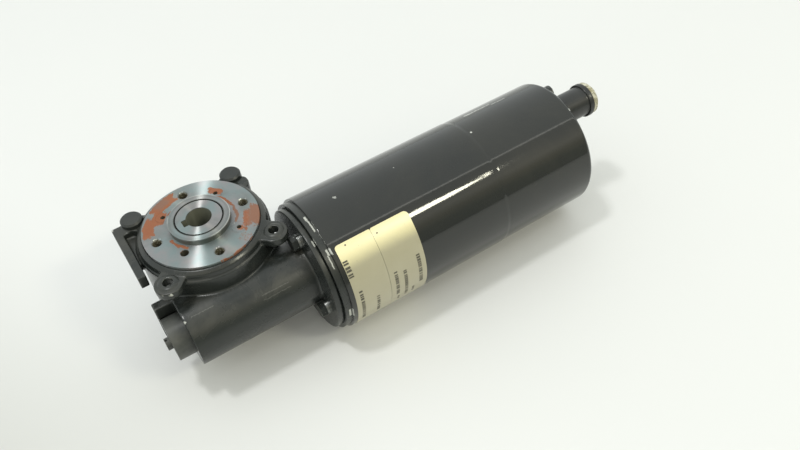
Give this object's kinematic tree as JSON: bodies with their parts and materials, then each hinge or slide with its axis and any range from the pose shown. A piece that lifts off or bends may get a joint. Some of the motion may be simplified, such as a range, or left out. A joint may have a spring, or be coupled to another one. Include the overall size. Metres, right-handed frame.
{
  "type": "motorised actuator head",
  "caption": "Right-angle worm-gear motor head: keyed hollow output shaft in a round flange, cast gearbox with corner lugs, long black motor tube and a rear cable gland.",
  "frame": {"origin": "centre of the output flange's upper face, on the output shaft's axis", "axes": "+Z out of the flange along the output shaft, +X along the motor towards its rear end, the worm and motor axis on the -Y side"},
  "size_m": [0.2854, 0.1095, 0.0805],
  "materials": {
    "cast_black": "satin black paint over a casting, dusty and worn at the edges",
    "motor_paint": "glossy black paint with small chips",
    "turned_steel": "turned face with concentric tool marks",
    "zinc_plate": "dull zinc plate",
    "gasket_paper": "oiled gasket paper",
    "rubber": "matt black nitrile",
    "bearing_steel": "ground and polished",
    "machined_steel": "machined and oiled",
    "bronze": "hobbed gear bronze",
    "brass": "pressed brass",
    "copper": "enamelled and turned copper",
    "core_steel": "stacked laminations, varnished",
    "ferrite": "matt grey ferrite",
    "phenolic": "brown moulded phenolic",
    "carbon": "grey-black carbon",
    "white_nylon": "off-white moulded nylon",
    "black_nylon": "black moulded nylon",
    "cream_plastic": "cream moulded ring, slightly yellowed",
    "label_film": null
  },
  "bodies": {
    "fixed_parts": {"gear_housing": "cast_black", "output_flange": "turned_steel", "flange_gasket": "gasket_paper", "flange_screws": "zinc_plate", "upper_seal": "rubber", "upper_bearing_outer": "bearing_steel", "lower_bearing_outer": "bearing_steel", "bottom_cover": "cast_black", "bottom_gasket": "gasket_paper", "bottom_screws": "zinc_plate", "lower_seal": "rubber", "corner_posts": "cast_black", "worm_end_plug": "cast_black", "adjuster_screw": "zinc_plate", "worm_bearing_outer": "bearing_steel", "worm_oil_seal": "rubber", "flange_bolts": "zinc_plate", "flange_washers": "zinc_plate", "front_end_shield": "cast_black", "front_bearing_outer": "bearing_steel", "motor_tube": "motor_paint", "magnets": "ferrite", "brush_carrier": "phenolic", "brush_boxes": "brass", "brushes": "carbon", "brush_springs": "machined_steel", "rear_hood": "motor_paint", "rear_bearing_outer": "bearing_steel", "wave_washer": "machined_steel", "tie_bolts": "zinc_plate", "terminal_block": "white_nylon", "gland_body": "black_nylon", "gland_seal": "rubber", "gland_end_ring": "cream_plastic", "gland_nut": "black_nylon", "label_front": "label_film", "label_rear": "label_film"},
    "armature": {"motor_shaft": "machined_steel", "worm": "machined_steel", "worm_key": "machined_steel", "armature_core": "core_steel", "armature_winding": "copper", "commutator_segments": "copper", "commutator_hub": "phenolic", "worm_bearing_inner": "bearing_steel", "front_bearing_inner": "bearing_steel", "rear_bearing_inner": "bearing_steel"},
    "output": {"output_shaft": "turned_steel", "worm_wheel": "bronze", "wheel_key": "machined_steel", "wheel_retaining_ring": "machined_steel", "upper_bearing_inner": "bearing_steel", "lower_bearing_inner": "bearing_steel"}
  },
  "joints": [
    {"name": "armature_spin", "type": "hinge", "parent": "fixed_parts", "child": "armature", "pos_m": [0, -0.033, -0.0365], "axis": [1, 0, 0], "continuous": true},
    {"name": "output_spin", "type": "hinge", "parent": "fixed_parts", "child": "output", "pos_m": [0, 0, 0], "axis": [0, 0, 1], "continuous": true}
  ],
  "couplings": [
    {"joint": "output_spin", "follows": "armature_spin", "ratio": -0.03125}
  ]
}
